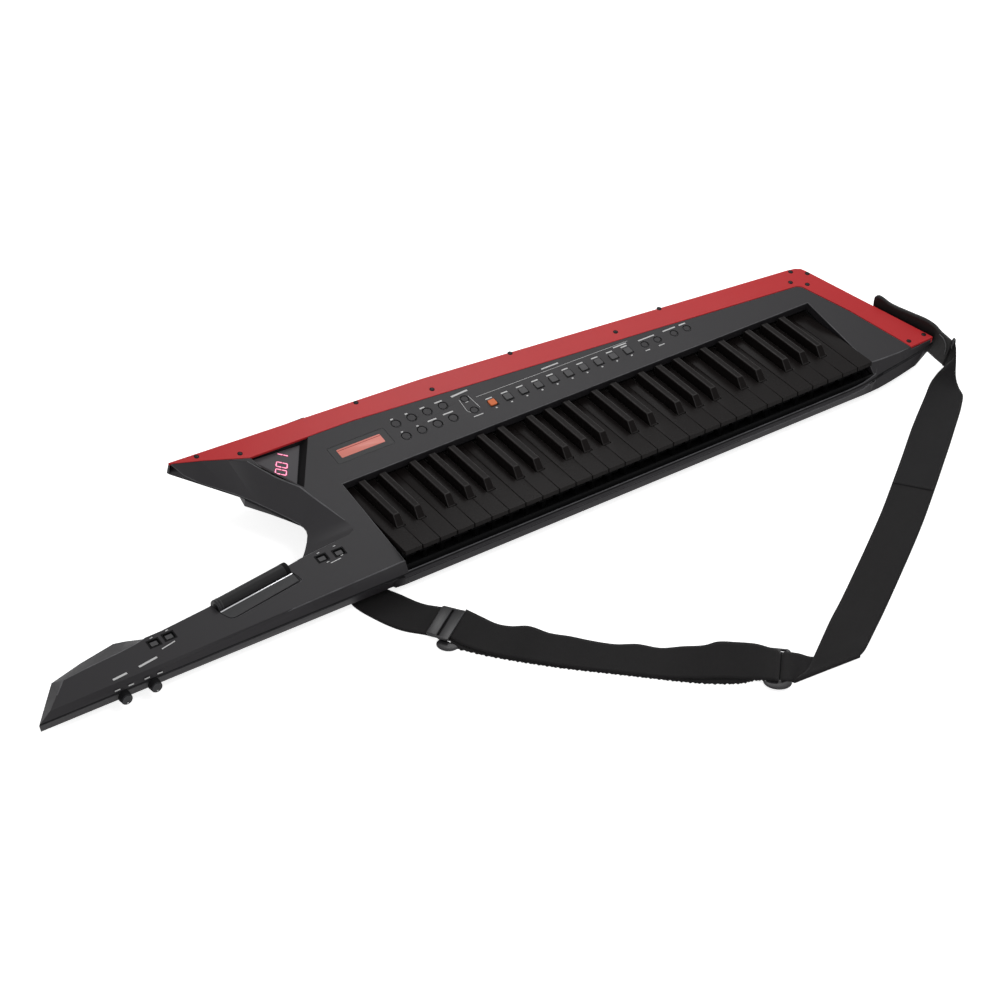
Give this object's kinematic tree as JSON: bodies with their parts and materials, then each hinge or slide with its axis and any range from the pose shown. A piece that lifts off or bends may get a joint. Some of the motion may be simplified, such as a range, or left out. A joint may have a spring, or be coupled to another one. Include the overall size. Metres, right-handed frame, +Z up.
{
  "type": "keytar",
  "caption": "Keyboard worn on a strap: a wedge-shaped body with a keybed, a forked horn, a neck with knobs and a modulation bar, and a red edge panel.",
  "frame": {"origin": "middle of the footprint, on the surface that the feet stand on", "axes": "+X along the keys towards the high notes, +Y towards the red edge, +Z up"},
  "size_m": [1.2756, 0.6421, 0.0876],
  "materials": {
    "housing": "fine matte texture",
    "red_metal": "satin paint",
    "key_plastic": "matte",
    "display_glass": "smoked, lit from behind",
    "button_rubber": "matte",
    "dark_plastic": "matte",
    "satin_plastic": "satin",
    "bar_rubber": "satin",
    "buckle_plastic": "gloss",
    "strap_leather": "matte",
    "pin_metal": "polished",
    "strap_webbing": "woven"
  },
  "bodies": {
    "case": {"battery_cover": "housing", "edge_panel": "red_metal", "key_chassis": "dark_plastic", "lower_case": "housing", "number_window": "display_glass", "ribbon_plate": "satin_plastic", "screen_lens": "display_glass", "strap_end": "strap_leather", "strap_pin_rear": "pin_metal", "strap_pin_right": "pin_metal", "strap_ring": "buckle_plastic", "strap_slider": "buckle_plastic", "strap_tail": "strap_webbing", "strap_upper": "strap_webbing", "strap_webbing": "strap_webbing", "upper_case": "housing"},
    "key_c1_body": {"key_c1": "key_plastic"},
    "key_d1_body": {"key_d1": "key_plastic"},
    "key_e1_body": {"key_e1": "key_plastic"},
    "key_f1_body": {"key_f1": "key_plastic"},
    "key_g1_body": {"key_g1": "key_plastic"},
    "key_a1_body": {"key_a1": "key_plastic"},
    "key_b1_body": {"key_b1": "key_plastic"},
    "key_c2_body": {"key_c2": "key_plastic"},
    "key_d2_body": {"key_d2": "key_plastic"},
    "key_e2_body": {"key_e2": "key_plastic"},
    "key_f2_body": {"key_f2": "key_plastic"},
    "key_g2_body": {"key_g2": "key_plastic"},
    "key_a2_body": {"key_a2": "key_plastic"},
    "key_b2_body": {"key_b2": "key_plastic"},
    "key_c3_body": {"key_c3": "key_plastic"},
    "key_d3_body": {"key_d3": "key_plastic"},
    "key_e3_body": {"key_e3": "key_plastic"},
    "key_f3_body": {"key_f3": "key_plastic"},
    "key_g3_body": {"key_g3": "key_plastic"},
    "key_a3_body": {"key_a3": "key_plastic"},
    "key_b3_body": {"key_b3": "key_plastic"},
    "key_c4_body": {"key_c4": "key_plastic"},
    "key_d4_body": {"key_d4": "key_plastic"},
    "key_e4_body": {"key_e4": "key_plastic"},
    "key_f4_body": {"key_f4": "key_plastic"},
    "key_g4_body": {"key_g4": "key_plastic"},
    "key_a4_body": {"key_a4": "key_plastic"},
    "key_b4_body": {"key_b4": "key_plastic"},
    "key_c5_body": {"key_c5": "key_plastic"},
    "sharps_1_body": {"sharps_1": "key_plastic"},
    "sharps_2_body": {"sharps_2": "key_plastic"},
    "sharps_3_body": {"sharps_3": "key_plastic"},
    "sharps_4_body": {"sharps_4": "key_plastic"},
    "menu_keypad_body": {"menu_keypad": "button_rubber"},
    "mode_keypad_body": {"mode_keypad": "button_rubber"},
    "program_keypad_body": {"program_keypad": "button_rubber"},
    "player_keypad_body": {"player_keypad": "button_rubber"},
    "octave_down_button_body": {"octave_down_button": "button_rubber"},
    "octave_up_button_body": {"octave_up_button": "button_rubber"},
    "hold_button_body": {"hold_button": "button_rubber"},
    "shift_button_body": {"shift_button": "button_rubber"},
    "volume_knob_body": {"volume_knob": "dark_plastic"},
    "control_knob_body": {"control_knob": "dark_plastic"},
    "modulation_bar_body": {"modulation_bar": "bar_rubber"}
  },
  "joints": [
    {"name": "key_c1_hinge", "type": "hinge", "parent": "case", "child": "key_c1_body", "pos_m": [-0.16104, 0.24075, 0.0453], "axis": [1, 0, 0], "range_deg": [0, 3.2], "stiffness_Nm_per_rad": 1, "springref_deg": -5.73},
    {"name": "key_d1_hinge", "type": "hinge", "parent": "case", "child": "key_d1_body", "pos_m": [-0.13744, 0.24075, 0.0453], "axis": [1, 0, 0], "range_deg": [0, 3.2], "stiffness_Nm_per_rad": 1, "springref_deg": -5.73},
    {"name": "key_e1_hinge", "type": "hinge", "parent": "case", "child": "key_e1_body", "pos_m": [-0.11384, 0.24075, 0.0453], "axis": [1, 0, 0], "range_deg": [0, 3.2], "stiffness_Nm_per_rad": 1, "springref_deg": -5.73},
    {"name": "key_f1_hinge", "type": "hinge", "parent": "case", "child": "key_f1_body", "pos_m": [-0.09024, 0.24075, 0.0453], "axis": [1, 0, 0], "range_deg": [0, 3.2], "stiffness_Nm_per_rad": 1, "springref_deg": -5.73},
    {"name": "key_g1_hinge", "type": "hinge", "parent": "case", "child": "key_g1_body", "pos_m": [-0.06664, 0.24075, 0.0453], "axis": [1, 0, 0], "range_deg": [0, 3.2], "stiffness_Nm_per_rad": 1, "springref_deg": -5.73},
    {"name": "key_a1_hinge", "type": "hinge", "parent": "case", "child": "key_a1_body", "pos_m": [-0.04304, 0.24075, 0.0453], "axis": [1, 0, 0], "range_deg": [0, 3.2], "stiffness_Nm_per_rad": 1, "springref_deg": -5.73},
    {"name": "key_b1_hinge", "type": "hinge", "parent": "case", "child": "key_b1_body", "pos_m": [-0.01944, 0.24075, 0.0453], "axis": [1, 0, 0], "range_deg": [0, 3.2], "stiffness_Nm_per_rad": 1, "springref_deg": -5.73},
    {"name": "key_c2_hinge", "type": "hinge", "parent": "case", "child": "key_c2_body", "pos_m": [0.00416, 0.24075, 0.0453], "axis": [1, 0, 0], "range_deg": [0, 3.2], "stiffness_Nm_per_rad": 1, "springref_deg": -5.73},
    {"name": "key_d2_hinge", "type": "hinge", "parent": "case", "child": "key_d2_body", "pos_m": [0.02776, 0.24075, 0.0453], "axis": [1, 0, 0], "range_deg": [0, 3.2], "stiffness_Nm_per_rad": 1, "springref_deg": -5.73},
    {"name": "key_e2_hinge", "type": "hinge", "parent": "case", "child": "key_e2_body", "pos_m": [0.05136, 0.24075, 0.0453], "axis": [1, 0, 0], "range_deg": [0, 3.2], "stiffness_Nm_per_rad": 1, "springref_deg": -5.73},
    {"name": "key_f2_hinge", "type": "hinge", "parent": "case", "child": "key_f2_body", "pos_m": [0.07496, 0.24075, 0.0453], "axis": [1, 0, 0], "range_deg": [0, 3.2], "stiffness_Nm_per_rad": 1, "springref_deg": -5.73},
    {"name": "key_g2_hinge", "type": "hinge", "parent": "case", "child": "key_g2_body", "pos_m": [0.09856, 0.24075, 0.0453], "axis": [1, 0, 0], "range_deg": [0, 3.2], "stiffness_Nm_per_rad": 1, "springref_deg": -5.73},
    {"name": "key_a2_hinge", "type": "hinge", "parent": "case", "child": "key_a2_body", "pos_m": [0.12216, 0.24075, 0.0453], "axis": [1, 0, 0], "range_deg": [0, 3.2], "stiffness_Nm_per_rad": 1, "springref_deg": -5.73},
    {"name": "key_b2_hinge", "type": "hinge", "parent": "case", "child": "key_b2_body", "pos_m": [0.14576, 0.24075, 0.0453], "axis": [1, 0, 0], "range_deg": [0, 3.2], "stiffness_Nm_per_rad": 1, "springref_deg": -5.73},
    {"name": "key_c3_hinge", "type": "hinge", "parent": "case", "child": "key_c3_body", "pos_m": [0.16936, 0.24075, 0.0453], "axis": [1, 0, 0], "range_deg": [0, 3.2], "stiffness_Nm_per_rad": 1, "springref_deg": -5.73},
    {"name": "key_d3_hinge", "type": "hinge", "parent": "case", "child": "key_d3_body", "pos_m": [0.19296, 0.24075, 0.0453], "axis": [1, 0, 0], "range_deg": [0, 3.2], "stiffness_Nm_per_rad": 1, "springref_deg": -5.73},
    {"name": "key_e3_hinge", "type": "hinge", "parent": "case", "child": "key_e3_body", "pos_m": [0.21656, 0.24075, 0.0453], "axis": [1, 0, 0], "range_deg": [0, 3.2], "stiffness_Nm_per_rad": 1, "springref_deg": -5.73},
    {"name": "key_f3_hinge", "type": "hinge", "parent": "case", "child": "key_f3_body", "pos_m": [0.24016, 0.24075, 0.0453], "axis": [1, 0, 0], "range_deg": [0, 3.2], "stiffness_Nm_per_rad": 1, "springref_deg": -5.73},
    {"name": "key_g3_hinge", "type": "hinge", "parent": "case", "child": "key_g3_body", "pos_m": [0.26376, 0.24075, 0.0453], "axis": [1, 0, 0], "range_deg": [0, 3.2], "stiffness_Nm_per_rad": 1, "springref_deg": -5.73},
    {"name": "key_a3_hinge", "type": "hinge", "parent": "case", "child": "key_a3_body", "pos_m": [0.28736, 0.24075, 0.0453], "axis": [1, 0, 0], "range_deg": [0, 3.2], "stiffness_Nm_per_rad": 1, "springref_deg": -5.73},
    {"name": "key_b3_hinge", "type": "hinge", "parent": "case", "child": "key_b3_body", "pos_m": [0.31096, 0.24075, 0.0453], "axis": [1, 0, 0], "range_deg": [0, 3.2], "stiffness_Nm_per_rad": 1, "springref_deg": -5.73},
    {"name": "key_c4_hinge", "type": "hinge", "parent": "case", "child": "key_c4_body", "pos_m": [0.33456, 0.24075, 0.0453], "axis": [1, 0, 0], "range_deg": [0, 3.2], "stiffness_Nm_per_rad": 1, "springref_deg": -5.73},
    {"name": "key_d4_hinge", "type": "hinge", "parent": "case", "child": "key_d4_body", "pos_m": [0.35816, 0.24075, 0.0453], "axis": [1, 0, 0], "range_deg": [0, 3.2], "stiffness_Nm_per_rad": 1, "springref_deg": -5.73},
    {"name": "key_e4_hinge", "type": "hinge", "parent": "case", "child": "key_e4_body", "pos_m": [0.38176, 0.24075, 0.0453], "axis": [1, 0, 0], "range_deg": [0, 3.2], "stiffness_Nm_per_rad": 1, "springref_deg": -5.73},
    {"name": "key_f4_hinge", "type": "hinge", "parent": "case", "child": "key_f4_body", "pos_m": [0.40536, 0.24075, 0.0453], "axis": [1, 0, 0], "range_deg": [0, 3.2], "stiffness_Nm_per_rad": 1, "springref_deg": -5.73},
    {"name": "key_g4_hinge", "type": "hinge", "parent": "case", "child": "key_g4_body", "pos_m": [0.42896, 0.24075, 0.0453], "axis": [1, 0, 0], "range_deg": [0, 3.2], "stiffness_Nm_per_rad": 1, "springref_deg": -5.73},
    {"name": "key_a4_hinge", "type": "hinge", "parent": "case", "child": "key_a4_body", "pos_m": [0.45256, 0.24075, 0.0453], "axis": [1, 0, 0], "range_deg": [0, 3.2], "stiffness_Nm_per_rad": 1, "springref_deg": -5.73},
    {"name": "key_b4_hinge", "type": "hinge", "parent": "case", "child": "key_b4_body", "pos_m": [0.47616, 0.24075, 0.0453], "axis": [1, 0, 0], "range_deg": [0, 3.2], "stiffness_Nm_per_rad": 1, "springref_deg": -5.73},
    {"name": "key_c5_hinge", "type": "hinge", "parent": "case", "child": "key_c5_body", "pos_m": [0.49976, 0.24075, 0.0453], "axis": [1, 0, 0], "range_deg": [0, 3.2], "stiffness_Nm_per_rad": 1, "springref_deg": -5.73},
    {"name": "sharps_1_hinge", "type": "hinge", "parent": "case", "child": "sharps_1_body", "pos_m": [-0.09024, 0.24075, 0.0453], "axis": [1, 0, 0], "range_deg": [0, 3.2], "stiffness_Nm_per_rad": 5, "springref_deg": -5.73},
    {"name": "sharps_2_hinge", "type": "hinge", "parent": "case", "child": "sharps_2_body", "pos_m": [0.07496, 0.24075, 0.0453], "axis": [1, 0, 0], "range_deg": [0, 3.2], "stiffness_Nm_per_rad": 5, "springref_deg": -5.73},
    {"name": "sharps_3_hinge", "type": "hinge", "parent": "case", "child": "sharps_3_body", "pos_m": [0.24016, 0.24075, 0.0453], "axis": [1, 0, 0], "range_deg": [0, 3.2], "stiffness_Nm_per_rad": 5, "springref_deg": -5.73},
    {"name": "sharps_4_hinge", "type": "hinge", "parent": "case", "child": "sharps_4_body", "pos_m": [0.40536, 0.24075, 0.0453], "axis": [1, 0, 0], "range_deg": [0, 3.2], "stiffness_Nm_per_rad": 5, "springref_deg": -5.73},
    {"name": "menu_keypad_press", "type": "slide", "parent": "case", "child": "menu_keypad_body", "axis": [0, 0.1747, -0.9846], "range_m": [0, 0.001], "stiffness_N_per_m": 300, "springref_m": -0.003},
    {"name": "mode_keypad_press", "type": "slide", "parent": "case", "child": "mode_keypad_body", "axis": [0, 0.1747, -0.9846], "range_m": [0, 0.001], "stiffness_N_per_m": 300, "springref_m": -0.003},
    {"name": "program_keypad_press", "type": "slide", "parent": "case", "child": "program_keypad_body", "axis": [0, 0.1747, -0.9846], "range_m": [0, 0.001], "stiffness_N_per_m": 300, "springref_m": -0.003},
    {"name": "player_keypad_press", "type": "slide", "parent": "case", "child": "player_keypad_body", "axis": [0, 0.1747, -0.9846], "range_m": [0, 0.001], "stiffness_N_per_m": 300, "springref_m": -0.003},
    {"name": "octave_down_button_press", "type": "slide", "parent": "case", "child": "octave_down_button_body", "axis": [0, 0.1747, -0.9846], "range_m": [0, 0.001], "stiffness_N_per_m": 300, "springref_m": -0.003},
    {"name": "octave_up_button_press", "type": "slide", "parent": "case", "child": "octave_up_button_body", "axis": [0, 0.1747, -0.9846], "range_m": [0, 0.001], "stiffness_N_per_m": 300, "springref_m": -0.003},
    {"name": "hold_button_press", "type": "slide", "parent": "case", "child": "hold_button_body", "axis": [0, 0.1747, -0.9846], "range_m": [0, 0.001], "stiffness_N_per_m": 300, "springref_m": -0.003},
    {"name": "shift_button_press", "type": "slide", "parent": "case", "child": "shift_button_body", "axis": [0, 0.1747, -0.9846], "range_m": [0, 0.001], "stiffness_N_per_m": 300, "springref_m": -0.003},
    {"name": "volume_knob_turn", "type": "hinge", "parent": "case", "child": "volume_knob_body", "pos_m": [-0.53784, 0.04675, 0.0223], "axis": [0, -1, 0], "range_deg": [-140, 140]},
    {"name": "control_knob_turn", "type": "hinge", "parent": "case", "child": "control_knob_body", "pos_m": [-0.50184, 0.04675, 0.0223], "axis": [0, -1, 0], "range_deg": [-140, 140]},
    {"name": "modulation_bar_roll", "type": "hinge", "parent": "case", "child": "modulation_bar_body", "pos_m": [-0.3482, 0.10347, 0.04825], "axis": [0.9917, 0.1268, 0.0225], "range_deg": [0, 12], "stiffness_Nm_per_rad": 0.2, "springref_deg": -5.73}
  ]
}
